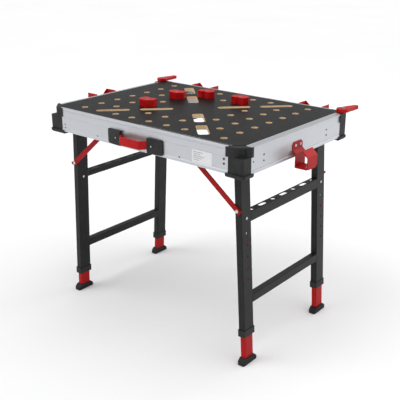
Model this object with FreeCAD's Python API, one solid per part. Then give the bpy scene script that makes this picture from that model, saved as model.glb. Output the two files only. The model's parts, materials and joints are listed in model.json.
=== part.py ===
"""Folding clamping and welding table: a perforated work top in an aluminium frame on two folding leg frames.

Millimetres, +Z up. The table stands on the floor at z = 0. The front rail, with the carrying handle,
faces -Y, and +X is the right-hand end with the tool hook. The origin is at floor level under the
middle of the whole object, from the hook to the side bracket and from the handle to the stop levers.
"""
import FreeCAD, Part
import math
import os

os.makedirs("parts", exist_ok=True)
V = FreeCAD.Vector

# ---- overall sizes -------------------------------------------------------------------------------
table_length = 1062.0          # along X, over the end rails' top lips
table_depth = 720.0            # along Y, over the long rails
table_height = 923.0           # floor to work top, with the legs in their lowest holes
# ---- work top ------------------------------------------------------------------------------------
panel_thickness = 18.0
panel_corner_chamfer = 45.0
hole_pitch = 96.0
hole_margin = 47.0             # least distance from a row of holes to the panel's edge
dog_hole_diameter = 26.0
hole_mouth_chamfer = 1.0
slot_length = 143.0
slot_width = 34.0
cutout_margin = 101.0          # from the panel's front edge to the middles of the outer slots and windows
cutout_spacing = 131.0         # X and Y distance from them to the inner ones
window_length = 135.0
window_width = 46.0
window_corner_radius = 12.0
# ---- rails ---------------------------------------------------------------------------------------
rail_height = 105.0
rail_wall = 2.0
panel_ledge = 14.0             # how far a rail reaches under the panel
end_rail_lip = 27.0            # width of the sloped top lip of an end rail
end_rail_lip_drop = 4.0
long_rail_lip = 10.0            # width of the narrow top lip of a long rail
long_rail_ledge = 15.0
face_recess = 1.5              # depth of a long rail's face behind its lips
end_face_recess = 3.0
rail_base_lip = 12.0           # height of the lip along the bottom of every rail
# ---- corner pieces -------------------------------------------------------------------------------
corner_reach_x = 73.0          # how much of the length a corner piece takes
corner_reach_y = 46.0
corner_overlap = 9.0           # how far its head laps over a rail's outer face
corner_proud = 2.5
corner_chamfer = 46.0
corner_top_drop = 1.0          # the head's top lies this far under the work top
corner_head_height = 38.0
corner_post_recess = 1.5
back_corner_chamfer = 12.0     # the back ones stay nearly square, to carry the stop levers
corner_foot_height = 16.0      # of the flared foot
corner_foot_drop = 11.0        # how far it hangs below the rails
corner_foot_proud = 4.5
corner_foot_bevel = 6.0
corner_pocket_width = 28.0
corner_pocket_height = 26.0
corner_pocket_depth = 5.0
# ---- leg frames ----------------------------------------------------------------------------------
leg_splay = 3.2                # degrees, outwards
pivot_inset = 80.3             # from the end of the table to the hinge axis
pivot_drop = 50.0              # from the work top to the right frame's hinge axis
nesting_drop = 36.0            # the left frame hangs this much lower, and folds under the right one
leg_side_gap = 15.5            # along Y, between a corner piece and the side of a leg
tube_thickness = 30.0          # across, along X
tube_width = 60.0              # along Y
tube_wall = 1.5
tube_corner_radius = 3.0
tube_above_pivot = 18.0
tube_length = 764.0
collar_height = 29.0
collar_wall_x = 2.0
collar_wall_y = 4.0
collar_corner_radius = 3.0
tool_rail_drop = 251.0         # from the hinge axis to the middle of the drilled upper rail
tool_rail_height = 40.0
tool_rail_wall = 3.0
tool_hole_diameter = 20.0
tool_slot_length = 46.0
tool_hole_pitch = 73.0
tool_hole_margin = 15.0        # least distance from a hole's middle to the rail's end
lower_rail_drop = 598.5
lower_rail_height = 34.5
lower_rail_wall = 1.5
cross_bolt_drop = 251.0
cross_bolt_diameter = 6.0
cross_bolt_head = 11.0
cross_bolt_head_height = 2.2
# ---- height adjustment ---------------------------------------------------------------------------
inner_leg_thickness = 25.0
inner_leg_width = 50.0
inner_leg_wall = 1.5
inner_leg_corner_radius = 2.5
inner_leg_play = 0.3           # each side, in the collar's throat
button_drop = 311.5            # from the hinge axis to the spring button
button_diameter = 9.0
button_hole_diameter = 10.0
button_hole_pitch = 48.0
button_holes_below = 4
button_stand_out = 0.7         # of the button beyond the inner leg, inside the outer tube
button_travel = 4.0
button_play = 0.05
inner_leg_above_button = 25.0
foot_height = 28.0
foot_thickness = 33.0
foot_width = 92.0
foot_corner_radius = 8.0
foot_sole_height = 12.0
foot_socket_wall = 3.0
foot_floor = 5.0               # rubber between the inner leg's end and the ground
# ---- hinges and braces ---------------------------------------------------------------------------
hinge_bolt_diameter = 10.0
running_play = 0.05            # radial, every pin in its hole
hinge_plate = 3.0
hinge_plate_width = 40.0
hinge_gap = 0.4                # between a leg tube and each hinge ear
brace_pin_height = 658.0       # above the floor, where the braces are bolted to the legs
right_brace_angle = 37.05       # degrees above level
left_brace_angle = 40.5
brace_width = 22.0
brace_thickness = 4.0
brace_gap = 1.0                # between a leg tube and its brace
brace_bolt_diameter = 8.0
brace_heel = 14.0              # the brace's end beyond its bolt
brace_tab = 6.0                # how far the heel's finger tab is bent out
guide_wall = 3.0
guide_pin_diameter = 8.0
guide_pin_length = 7.5
guide_pin_gap = 0.5            # between a brace's upper pin and the slotted guide
guide_slot_height = 9.0
guide_margin = 15.0
support_bar_width = 24.0
support_bar_thickness = 11.0
support_bar_places = (34.0, 336.0)
# ---- screws and rivets in the rails' faces: place along the rail, drop below the top, diameter ----
front_screw_places = ((-440.0, 72.0, 5.0), (-440.0, 86.0, 5.0), (-233.0, 87.0, 5.0), (226.0, 87.0, 5.0),
                      (440.0, 51.0, 9.0), (440.0, 69.0, 8.0))
back_screw_places = ((-440.0, 51.0, 9.0), (-440.0, 69.0, 8.0), (-100.0, 87.0, 5.0), (100.0, 87.0, 5.0),
                     (440.0, 72.0, 5.0), (440.0, 86.0, 5.0))
rivet_diameter = 6.0
# front or back end of an end rail, inset from that end, drop below the top, diameter
end_screw_places = ((-1, 14.0, 59.0, 5.0), (-1, 79.0, 46.0, rivet_diameter), (-1, 79.0, 69.0, rivet_diameter),
                    (1, 110.0, 46.0, rivet_diameter), (1, 110.0, 69.0, rivet_diameter))
# ---- handle --------------------------------------------------------------------------------------
handle_plate_length = 78.0
handle_plate_height = 62.0
handle_plate_thin = 5.0
handle_plate_thick = 13.0
handle_middle = -8.0           # the handle's middle along X
handle_gap = 149.0             # between its two end plates
handle_drop = 69.0             # from the work top to the handle's centre line
strap_height = 35.0
strap_thickness = 5.0
strap_bow = 23.0               # how far the strap stands out from its end plates
strap_shoulder = 24.0          # from an end plate to the start of the strap's straight middle
strap_bend_radius = 9.0
# ---- hook, brackets, levers ----------------------------------------------------------------------
sheet = 3.0                    # thickness of the bent red sheet parts
hook_width = 70.0
hook_middle = -13.0            # along Y
hook_reach = 72.0  # from the end rail's face to the outside of the hook's lip
hook_plate_top = 45.0          # below the work top
hook_joggle_top = 75.0
hook_joggle = 14.0
hook_bottom = 143.0
hook_lip_top = 93.0
hook_flap = 35.0
hook_hole_diameter = 10.0
hook_hole_inset = 26.0
bracket_spacing = 115.0        # between a bracket's two arms
bracket_reach = 72.0  # from a rail's face to the ends of the arms
bracket_arm_height = 60.0
bracket_top = 1.0              # the arms' top edge, below the work top
bracket_ear = 22.0             # width of the inward-turned end of an arm
back_bracket_places = (-280.5, 344.0)
left_bracket_place = -21.5
lever_hub_diameter = 52.0
lever_length = 94.0            # from its screw to its tip
lever_tip_width = 24.0
lever_thickness = 14.0
lever_screw_inset_x = 13.0     # from the end and the back of the table
lever_screw_inset_y = 14.0
lever_screw_diameter = 8.0
right_lever_turn = -12.0       # degrees from straight back, anticlockwise seen from above
left_lever_turn = -6.0
# ---- clamping jaws -------------------------------------------------------------------------------
jaw_height = 32.0
jaw_face_width = 66.0
jaw_width = 84.0
jaw_front = 25.0                # from the peg's axis to the grooved face
jaw_back = 30.0
jaw_side_place = 5.0           # where the jaw is widest, behind the peg's axis
jaw_back_width = 44.0
jaw_groove_depth = 9.0
jaw_corner_radius = 2.0
jaw_lift = 0.3                 # under a jaw, so that it turns freely
peg_shoulder_height = 14.0     # of the peg's thick end inside the jaw
peg_spindle_diameter = 14.0
peg_below_panel = 6.0
peg_play = 0.08                # radial, in a dog hole
peg_lift_range = 30.0
jaw_places = ((-2, -1, 180.0), (-2, 1, 180.0), (-1, 2, 0.0), (1, 2, 0.0))

# ---- places that follow from the sizes above -----------------------------------------------------
half_length = table_length / 2.0
half_depth = table_depth / 2.0
panel_half_length = half_length - end_rail_lip
panel_half_depth = half_depth - long_rail_lip
outer_cutout_offset = panel_half_depth - cutout_margin
inner_cutout_offset = outer_cutout_offset - cutout_spacing
panel_bottom = table_height - panel_thickness
long_rail_thickness = long_rail_lip + long_rail_ledge
end_rail_thickness = end_rail_lip + panel_ledge
end_face = half_length - end_face_recess
long_face = half_depth - face_recess
rail_bottom = table_height - rail_height
long_rail_end = half_length - corner_reach_x
end_rail_end = half_depth - corner_reach_y
pivot_x = half_length - pivot_inset
right_pivot_z = table_height - pivot_drop
left_pivot_z = right_pivot_z - nesting_drop
leg_y = half_depth - corner_reach_y - leg_side_gap - tube_width / 2.0
tube_face_y = leg_y + tube_width / 2.0
brace_near_y = tube_face_y + brace_gap
brace_far_y = brace_near_y + brace_thickness
guide_near_y = brace_far_y + guide_pin_length + guide_pin_gap
long_rail_inner_y = half_depth - long_rail_thickness
handle_front_y = half_depth + handle_plate_thick + strap_bow
lever_back_y = (half_depth - lever_screw_inset_y
                + (lever_length - lever_tip_width / 2.0) * math.cos(math.radians(left_lever_turn))
                + lever_tip_width / 2.0)
handle_plate_middle = (handle_gap + handle_plate_length) / 2.0
whole_middle_x = (hook_reach - bracket_reach) / 2.0
whole_middle_y = (lever_back_y - handle_front_y) / 2.0


def box(x0, x1, y0, y1, z0, z1):
    """A block between two values on each axis, given in any order."""
    low = V(min(x0, x1), min(y0, y1), min(z0, z1))
    return Part.makeBox(abs(x1 - x0), abs(y1 - y0), abs(z1 - z0), low)


def rod(diameter, start, end):
    """A round bar from one point to another."""
    way = end.sub(start)
    return Part.makeCylinder(diameter / 2.0, way.Length, start, way)


def prism(points, way):
    """A straight extrusion of a closed outline."""
    wire = Part.makePolygon([V(*p) for p in points] + [V(*points[0])])
    return Part.Face(wire).extrude(V(*way))


def fuse(pieces):
    """One solid from pieces that meet."""
    whole = pieces[0].multiFuse(pieces[1:])
    return whole.removeSplitter()


def fillet_along(shape, axis, radius, places=None):
    """Round the straight edges along "x", "y" or "z": all of them, or those nearest the given (x, y) places."""
    chosen = []
    for edge in shape.Edges:
        ends = [v.Point for v in edge.Vertexes]
        if len(ends) != 2:
            continue
        way = ends[1].sub(ends[0])
        if abs(abs(getattr(way, axis)) - way.Length) < 1e-6:
            here = (ends[0].x, ends[0].y)
            if places is None or min(math.dist(here, p) for p in places) < 0.5:
                chosen.append(edge)
    return shape.makeFillet(radius, chosen)


def stadium(length, width, height, middle, turn):
    """A round-ended bar shape standing on z = middle.z, turned about Z by some degrees."""
    run = length - width
    bar = box(-run / 2.0, run / 2.0, -width / 2.0, width / 2.0, 0, height)
    ends = [Part.makeCylinder(width / 2.0, height, V(s * run / 2.0, 0, 0)) for s in (-1, 1)]
    shape = fuse([bar] + ends)
    shape.rotate(V(0, 0, 0), V(0, 0, 1), turn)
    shape.translate(middle)
    return shape


def mirrored(shape, across_x=False, across_y=False):
    """The shape's mirror image on the other side of the table."""
    result = shape
    if across_x:
        result = result.mirror(V(0, 0, 0), V(1, 0, 0))
    if across_y:
        result = result.mirror(V(0, 0, 0), V(0, 1, 0))
    return result


def strip_outline(points, thickness):
    """The outline of a bent strip: a path in a plane, and the same path moved to its left by a thickness."""
    left = []
    for i, p in enumerate(points):
        normals = []
        for j, k in ((i - 1, i), (i, i + 1)):
            if j >= 0 and k < len(points):
                way = (points[k][0] - points[j][0], points[k][1] - points[j][1])
                size = math.hypot(*way)
                normals.append((-way[1] / size, way[0] / size))
        nx = sum(n[0] for n in normals)
        ny = sum(n[1] for n in normals)
        scale = len(normals) * thickness / (nx * nx + ny * ny)
        left.append((p[0] + nx * scale, p[1] + ny * scale))
    return list(points) + left[::-1]


nodes = {}


def add(name, shapes):
    """Keep a node: one shape, or a list of separate solids that share its name."""
    if isinstance(shapes, list):
        shapes = Part.makeCompound(shapes)
    nodes[name] = shapes


# ---- work top ------------------------------------------------------------------------------------
middle_column = int((panel_half_length - panel_corner_chamfer - hole_margin) // hole_pitch)
middle_row = int((panel_half_depth - hole_margin) // hole_pitch)
slot_row_gaps = ((-3, -3), (-2, -2), (-1, -1), (1, 1), (2, 2), (3, 3))
window_row_gaps = ((3, -3), (2, -2), (1, -1), (-1, 1), (-2, 2), (-3, 3))
middle_gaps = ((0, 0), (-1, 0), (1, 0), (0, -1), (0, 1))


def dog_hole_places():
    """Every round hole's place in the grid, from the middle of the panel."""
    gaps = slot_row_gaps + window_row_gaps + middle_gaps
    places = []
    for column in range(-middle_column, middle_column + 1):
        for row in range(-middle_row, middle_row + 1):
            if (column, row) not in gaps:
                places.append((column * hole_pitch, row * hole_pitch))
    return places


def panel_outline(grow, bottom, height):
    """The work top's chamfered rectangle, grown by a gap all round."""
    x = panel_half_length + grow
    y = panel_half_depth + grow
    c = panel_corner_chamfer
    outline = [(x, -y + c), (x, y - c), (x - c, y), (-x + c, y),
               (-x, y - c), (-x, -y + c), (-x + c, -y), (x - c, -y)]
    return prism([(px, py, bottom) for px, py in outline], (0, 0, height))


def make_panel():
    panel = panel_outline(0.0, panel_bottom, panel_thickness)
    cutters = []
    for x, y in dog_hole_places():
        cutters.append(Part.makeCylinder(dog_hole_diameter / 2.0, panel_thickness + 2, V(x, y, panel_bottom - 1)))
        cutters.append(Part.makeCone(dog_hole_diameter / 2.0, dog_hole_diameter / 2.0 + hole_mouth_chamfer,
                                     hole_mouth_chamfer, V(x, y, table_height - hole_mouth_chamfer)))
    for offset in (-outer_cutout_offset, -inner_cutout_offset, inner_cutout_offset, outer_cutout_offset):
        cutters.append(stadium(slot_length, slot_width, panel_thickness + 2,
                               V(offset, offset, panel_bottom - 1), 45))
        window = box(-window_length / 2, window_length / 2, -window_width / 2, window_width / 2,
                     0, panel_thickness + 2)
        window = fillet_along(window, "z", window_corner_radius)
        window.rotate(V(0, 0, 0), V(0, 0, 1), -45)
        window.translate(V(offset, -offset, panel_bottom - 1))
        cutters.append(window)
    return panel.cut(Part.makeCompound(cutters))


add("worktop_panel", make_panel())


# ---- rails ---------------------------------------------------------------------------------------
def long_rail_section():
    """(out from the inner face, up from the bottom) of the front and back rails."""
    deep = long_rail_thickness
    face = deep - face_recess
    top = rail_height
    seat = rail_height - panel_thickness
    return [(0, 0), (deep, 0), (deep, rail_base_lip - face_recess), (face, rail_base_lip),
            (face, top - 40), (deep, top - 40 + face_recess), (deep, top - 14), (face, top - 13),
            (face, top - 11), (deep, top - 10), (deep, top - 1), (deep - 1, top),
            (deep - long_rail_lip, top), (deep - long_rail_lip, seat), (0, seat)]


def end_rail_section():
    """The same for the left and right rails, with a broad sloping lip on top."""
    deep = end_rail_thickness
    face = deep - end_face_recess
    top = rail_height
    seat = rail_height - panel_thickness
    return [(0, 0), (face + 1.5, 0), (face + 1.5, rail_base_lip - 1.5), (face, rail_base_lip),
            (face, rail_base_lip + 1), (face - 1, rail_base_lip + 1), (face - 1, rail_base_lip + 3),
            (face, rail_base_lip + 3), (face, top - end_rail_lip_drop - 6),
            (deep, top - end_rail_lip_drop - 4), (deep, top - end_rail_lip_drop),
            (panel_ledge, top), (panel_ledge, seat), (0, seat)]


def rail_cavity(thickness, recess):
    inner = thickness - recess - rail_wall
    return [(rail_wall, rail_wall), (inner, rail_wall),
            (inner, rail_height - panel_thickness - rail_wall),
            (rail_wall, rail_height - panel_thickness - rail_wall)]


def make_long_rail():
    """The back rail, lying along X. The front rail is its mirror image."""
    def place(section):
        return [(-long_rail_end, long_rail_inner_y + u, rail_bottom + v) for u, v in section]
    run = (2 * long_rail_end, 0, 0)
    return prism(place(long_rail_section()), run).cut(prism(place(rail_cavity(long_rail_thickness, face_recess)), run))


def make_end_rail():
    """The right rail, lying along Y. The left rail is its mirror image."""
    inner_x = half_length - end_rail_thickness

    def place(section):
        return [(inner_x + u, -end_rail_end, rail_bottom + v) for u, v in section]
    run = (0, 2 * end_rail_end, 0)
    return prism(place(end_rail_section()), run).cut(prism(place(rail_cavity(end_rail_thickness, end_face_recess)), run))


long_rail = make_long_rail()
end_rail = make_end_rail()
add("back_rail", long_rail)
add("front_rail", mirrored(long_rail, across_y=True))
add("right_rail", end_rail)
add("left_rail", mirrored(end_rail, across_x=True))


# ---- corner pieces -------------------------------------------------------------------------------
def corner_block(lap, proud, chamfer, bottom, height):
    """A chamfered corner block that laps over the ends of both rails."""
    x = half_length + proud
    y = half_depth + proud
    outline = [(long_rail_end - lap, end_rail_end - lap), (x, end_rail_end - lap),
               (x, y - chamfer), (x - chamfer, y), (long_rail_end - lap, y)]
    return prism([(px, py, bottom) for px, py in outline], (0, 0, height))


def make_corner(chamfer):
    """The back right corner piece: a head over the rails, a recessed post and a flared foot."""
    head_top = table_height - corner_top_drop
    head_bottom = head_top - corner_head_height
    head = corner_block(corner_overlap, corner_proud, chamfer, head_bottom, corner_head_height)
    head = head.cut(box(0, long_rail_end, 0, half_depth, head_bottom - 1, head_top + 1))
    head = head.cut(box(0, half_length, 0, end_rail_end, head_bottom - 1, head_top + 1))
    head = head.cut(panel_outline(0.0, panel_bottom, panel_thickness + 1))
    post = box(long_rail_end, half_length - corner_post_recess, end_rail_end,
               half_depth - corner_post_recess, rail_bottom, head_bottom + 1)
    foot_bottom = rail_bottom - corner_foot_drop
    foot = corner_block(corner_overlap, corner_foot_proud, corner_foot_bevel, foot_bottom, corner_foot_height)
    low_outer = [e for e in foot.Edges if abs(e.CenterOfMass.z - foot_bottom) < 0.01
                 and (e.CenterOfMass.x > half_length - 5 or e.CenterOfMass.y > half_depth - 5)]
    foot = foot.makeChamfer(corner_foot_bevel, low_outer)
    foot = foot.cut(box(0, long_rail_end, 0, half_depth, rail_bottom, rail_bottom + rail_height))
    foot = foot.cut(box(0, half_length, 0, end_rail_end, rail_bottom, rail_bottom + rail_height))
    return fuse([head, post, foot])


def make_front_corner():
    """A corner piece with a square pocket in the chamfered face of its head."""
    middle_x = half_length + corner_proud - corner_chamfer / 2.0
    middle_y = half_depth + corner_proud - corner_chamfer / 2.0
    half_pocket = corner_pocket_width / 2.0
    pocket = box(-half_pocket, half_pocket, -corner_pocket_depth, corner_pocket_depth,
                 -corner_pocket_height / 2.0, corner_pocket_height / 2.0)
    pocket.rotate(V(0, 0, 0), V(0, 0, 1), -45)
    pocket.translate(V(middle_x, middle_y, table_height - corner_top_drop - corner_head_height / 2.0))
    return make_corner(corner_chamfer).cut(pocket)


lever_pin_x = half_length - lever_screw_inset_x
lever_pin_y = half_depth - lever_screw_inset_y
corner = make_front_corner()
back_corner = make_corner(back_corner_chamfer).cut(rod(lever_screw_diameter, V(lever_pin_x, lever_pin_y, table_height - 40),
                             V(lever_pin_x, lever_pin_y, table_height)))
add("back_right_corner", back_corner)
add("back_left_corner", mirrored(back_corner, across_x=True))
add("front_right_corner", mirrored(corner, across_y=True))
add("front_left_corner", mirrored(corner, across_x=True, across_y=True))


# ---- bars under the panel ------------------------------------------------------------------------
support_bars = []
for place in support_bar_places:
    for side in (-1, 1):
        support_bars.append(box(side * place - support_bar_width / 2, side * place + support_bar_width / 2,
                                -long_rail_inner_y, long_rail_inner_y,
                                panel_bottom - support_bar_thickness, panel_bottom))
add("panel_support_bars", support_bars)


# ---- fasteners in the rails ----------------------------------------------------------------------
def socket(across, face, outward, depth):
    """A hexagonal recess of a given width across its flats, sunk into a face that looks outward."""
    corner_radius = across / math.sqrt(3.0)
    corners = [(corner_radius * math.cos(math.radians(60 * i)), corner_radius * math.sin(math.radians(60 * i)), -depth)
               for i in range(6)]
    recess = prism(corners, (0, 0, depth + 0.5))
    recess.Placement = FreeCAD.Placement(face, FreeCAD.Rotation(V(0, 0, 1), outward))
    return recess


def pan_screw(diameter, height, face, outward, recess=True):
    """A low domed head that sits on a face, with a hexagonal socket unless it is a rivet."""
    out = V(*outward)
    head = Part.makeCylinder(diameter / 2.0, height, face, out)
    rim = [e for e in head.Edges if e.CenterOfMass.sub(face).dot(out) > height * 0.9]
    head = head.makeFillet(height * 0.45, rim)
    if recess:
        top = face.add(V(out.x * height, out.y * height, out.z * height))
        head = head.cut(socket(diameter * 0.45, top, out, height * 0.6))
    return head


rail_screws = []
for x, drop, size in front_screw_places:
    rail_screws.append(pan_screw(size, 2.0, V(x, -long_face, table_height - drop), (0, -1, 0)))
for x, drop, size in back_screw_places:
    rail_screws.append(pan_screw(size, 2.0, V(x, long_face, table_height - drop), (0, 1, 0)))
for end, inset, drop, size in end_screw_places:
    is_screw = size < rivet_diameter
    y = end * (end_rail_end - inset)
    rail_screws.append(pan_screw(size, 2.0, V(end_face, y, table_height - drop), (1, 0, 0), is_screw))
    rail_screws.append(pan_screw(size, 2.0, V(-end_face, -y, table_height - drop), (-1, 0, 0), is_screw))
add("rail_screws", rail_screws)


# ---- carrying handle -----------------------------------------------------------------------------
def make_handle_plate():
    """The right-hand end plate: thin at its outer end, thick where it grips the strap."""
    half = handle_plate_length / 2.0
    x0 = handle_plate_middle - half
    x1 = handle_plate_middle + half
    outline = [(x0, -half_depth), (x1, -half_depth), (x1, -half_depth - handle_plate_thin),
               (x0 + 22, -half_depth - handle_plate_thick), (x0, -half_depth - handle_plate_thick)]
    bottom = table_height - handle_drop - handle_plate_height / 2.0
    plate = prism([(x, y, bottom) for x, y in outline], (0, 0, handle_plate_height))
    outer = [e for e in plate.Edges if abs(e.CenterOfMass.x - x1) < 1e-6
             and abs(e.CenterOfMass.z - table_height + handle_drop) > handle_plate_height / 2.0 - 0.1]
    plate = plate.makeFillet(9.0, outer)
    slot = box(x0 - 1, x0 + strap_seat, -strap_middle_y - strap_thickness / 2, -strap_middle_y + strap_thickness / 2,
               table_height - handle_drop - strap_height / 2, table_height - handle_drop + strap_height / 2)
    return plate.cut(slot)


strap_seat = 14.0
strap_middle_y = half_depth + handle_plate_thick - strap_thickness / 2.0 - 3.0
handle_plate = make_handle_plate()
handle_plates = [handle_plate, mirrored(handle_plate, across_x=True)]
for piece in handle_plates:
    piece.translate(V(handle_middle, 0, 0))
add("handle_end_plates", handle_plates)


def make_strap():
    """A flat strap that stands out between the two end plates, its ends straight in their slots."""
    inner_end = handle_plate_middle - handle_plate_length / 2.0
    shoulder = inner_end - strap_shoulder
    end_y = -strap_middle_y + strap_thickness / 2.0
    bow_y = -handle_front_y + strap_thickness
    path = [(-inner_end - strap_seat, end_y), (-inner_end + 4, end_y), (-shoulder, bow_y),
            (shoulder, bow_y), (inner_end - 4, end_y), (inner_end + strap_seat, end_y)]
    outline = strip_outline(path[::-1], strap_thickness)
    bottom = table_height - handle_drop - strap_height / 2.0
    strap = prism([(x, y, bottom) for x, y in outline], (0, 0, strap_height))
    bends = [(x, y) for x, y in outline if abs(x) < shoulder + 4]
    strap = fillet_along(strap, "z", strap_bend_radius, bends)
    strap.translate(V(handle_middle, 0, 0))
    return strap


add("handle_strap", make_strap())

plate_x = 337.0
add("rating_plate", box(plate_x - 48, plate_x + 48, -long_face, -long_face - 0.6, table_height - 91, table_height - 41))


# ---- tool hook on the right rail -----------------------------------------------------------------
def make_hook():
    out = end_face + hook_reach
    top = table_height - hook_plate_top
    joggle_top = table_height - hook_joggle_top
    base = table_height - hook_bottom
    lip_top = table_height - hook_lip_top
    step = hook_flap * math.sqrt(0.5)
    path = [(end_face, top), (end_face, joggle_top), (end_face + hook_joggle, joggle_top - hook_joggle),
            (end_face + hook_joggle, base), (out, base), (out, lip_top), (out - step, lip_top + step)]
    outline = strip_outline(path, sheet)
    hook = prism([(x, -hook_width / 2.0, z) for x, z in outline], (0, hook_width, 0))
    trim = 10.0
    for side in (-1, 1):
        edge = side * hook_width / 2.0
        wedge = prism([(out - sheet - 1, edge, lip_top - trim), (out - sheet - 1, edge, lip_top + 1),
                       (out - sheet - 1, edge - side * trim, lip_top + 1)], (sheet + 2, 0, 0))
        corner_cut = prism([(end_face - 1, edge, top - trim), (end_face - 1, edge, top + 1),
                            (end_face - 1, edge - side * trim, top + 1)], (sheet + 2, 0, 0))
        hook = hook.cut(corner_cut)
        hook = hook.cut(prism([(out - sheet - 1, edge, base - 1), (out - sheet - 1, edge, base + trim),
                               (out - sheet - 1, edge - side * trim, base - 1)], (sheet + 2, 0, 0)))
    hook = hook.cut(rod(hook_hole_diameter, V(out - hook_hole_inset, 0, base - 1),
                        V(out - hook_hole_inset, 0, base + sheet + 1)))
    hook.translate(V(0, hook_middle, 0))
    return hook


add("tool_hook", make_hook())


# ---- accessory brackets on the left and back rails -----------------------------------------------
def make_bracket():
    """A bracket that stands out along +Y from y = 0, its middle at x = 0 and its top edge at z = 0."""
    half = bracket_spacing / 2.0
    reach = bracket_reach
    low = bracket_arm_height
    ear_drop = 20.0
    base = box(-half - sheet, half + sheet, 0, sheet, -rail_height + 20, -22)
    pieces = [base]
    for side in (-1, 1):
        arm_outline = [(side * half, 0, -22), (side * half, 10, 0), (side * half, reach, 0),
                       (side * half, reach, -low + 14), (side * half, reach - 14, -low),
                       (side * half, 10, -rail_height + 20), (side * half, 0, -rail_height + 20)]
        pieces.append(prism(arm_outline, (side * sheet, 0, 0)))
        ear_outline = [(side * half, reach - sheet, 0), (side * (half - bracket_ear), reach - sheet, -ear_drop),
                       (side * (half - bracket_ear), reach - sheet, -low + 14), (side * half, reach - sheet, -low + 14)]
        pieces.append(prism(ear_outline, (0, sheet, 0)))
    return fuse(pieces)


bracket = make_bracket()
for name, place in zip(("back_bracket_left", "back_bracket_right"), back_bracket_places):
    piece = bracket.copy()
    piece.translate(V(place, half_depth, table_height - bracket_top))
    add(name, piece)
side_bracket = bracket.copy()
side_bracket.rotate(V(0, 0, 0), V(0, 0, 1), 90)
side_bracket.translate(V(-end_face, left_bracket_place, table_height - bracket_top))
add("left_bracket", side_bracket)

accessory_screws = []
for y in (-17.0, 17.0):
    accessory_screws.append(pan_screw(11.0, 3.0, V(end_face + sheet, hook_middle + y, table_height - hook_plate_top - 14),
                                      (1, 0, 0)))
for place in back_bracket_places:
    for x in (-34.0, 34.0):
        accessory_screws.append(pan_screw(11.0, 3.0, V(place + x, half_depth + sheet, table_height - 60), (0, 1, 0)))
for y in (-34.0, 34.0):
    accessory_screws.append(pan_screw(11.0, 3.0, V(-end_face - sheet, left_bracket_place + y, table_height - 60),
                                      (-1, 0, 0)))
for side in (-1, 1):
    accessory_screws.append(pan_screw(6.5, 2.0, V(handle_middle + side * (handle_plate_middle - 14), -half_depth - handle_plate_thick,
                                                  table_height - handle_drop), (0, -1, 0)))


# ---- stop levers on the back corners -------------------------------------------------------------
def make_lever(turn):
    """A flat paddle lever whose screw is at the origin and which points along +Y before it is turned."""
    hub = Part.makeCylinder(lever_hub_diameter / 2.0, lever_thickness)
    tip_y = lever_length - lever_tip_width / 2.0
    tip = Part.makeCylinder(lever_tip_width / 2.0, lever_thickness, V(0, tip_y, 0))
    neck = prism([(-lever_hub_diameter / 2 + 2, 8, 0), (lever_hub_diameter / 2 - 2, 8, 0),
                  (lever_tip_width / 2, tip_y, 0), (-lever_tip_width / 2, tip_y, 0)], (0, 0, lever_thickness))
    lever = fuse([hub, tip, neck])
    lever = lever.cut(rod(lever_screw_diameter + 2 * running_play, V(0, 0, -1), V(0, 0, lever_thickness + 1)))
    lever.rotate(V(0, 0, 0), V(0, 0, 1), turn)
    return lever


for name, side, turn in (("right_stop_lever", 1, right_lever_turn), ("left_stop_lever", -1, left_lever_turn)):
    lever = make_lever(turn)
    lever.translate(V(side * lever_pin_x, lever_pin_y, table_height + 0.4))
    add(name, lever)
    washer = rod(16.0, V(side * lever_pin_x, lever_pin_y, table_height - corner_top_drop),
                 V(side * lever_pin_x, lever_pin_y, table_height + 0.1))
    shank = rod(lever_screw_diameter, V(side * lever_pin_x, lever_pin_y, table_height - 40),
                V(side * lever_pin_x, lever_pin_y, table_height + lever_thickness + 0.7))
    head = rod(15.0, V(side * lever_pin_x, lever_pin_y, table_height + lever_thickness + 0.7),
               V(side * lever_pin_x, lever_pin_y, table_height + lever_thickness + 4.7))
    head_top = V(side * lever_pin_x, lever_pin_y, table_height + lever_thickness + 4.7)
    accessory_screws.append(fuse([washer, shank, head]).cut(socket(7.0, head_top, V(0, 0, 1), 2.5)))
add("accessory_screws", accessory_screws)


# ---- leg hinges ----------------------------------------------------------------------------------
def make_hinge_bracket(pivot_z):
    """A pressed U under the panel whose two ears hold one leg, at y = 0 and x = 0."""
    ear_y = tube_width / 2.0 + hinge_gap
    half = hinge_plate_width / 2.0
    pieces = [box(-half, half, -ear_y - hinge_plate, ear_y + hinge_plate, panel_bottom - hinge_plate, panel_bottom)]
    for side in (-1, 1):
        pieces.append(box(-half, half, side * ear_y, side * (ear_y + hinge_plate), pivot_z - half, panel_bottom))
    bracket_shape = fuse(pieces)
    bolt_hole = rod(hinge_bolt_diameter, V(0, -ear_y - 10, pivot_z), V(0, ear_y + 10, pivot_z))
    return bracket_shape.cut(bolt_hole)


def make_hinge_bolt(pivot_z):
    ear_y = tube_width / 2.0 + hinge_gap + hinge_plate
    shank = rod(hinge_bolt_diameter, V(0, -ear_y, pivot_z), V(0, ear_y, pivot_z))
    pieces = [shank]
    for side in (-1, 1):
        pieces.append(rod(16.0, V(0, side * ear_y, pivot_z), V(0, side * (ear_y + 5), pivot_z)))
    return fuse(pieces)


hinge_brackets = []
hinge_bolts = []
for side, pivot_z in ((1, right_pivot_z), (-1, left_pivot_z)):
    for end in (-1, 1):
        for make, group in ((make_hinge_bracket, hinge_brackets), (make_hinge_bolt, hinge_bolts)):
            piece = make(pivot_z)
            piece.translate(V(side * pivot_x, end * leg_y, 0))
            group.append(piece)
add("leg_hinge_brackets", hinge_brackets)
add("leg_hinge_bolts", hinge_bolts)


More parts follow.
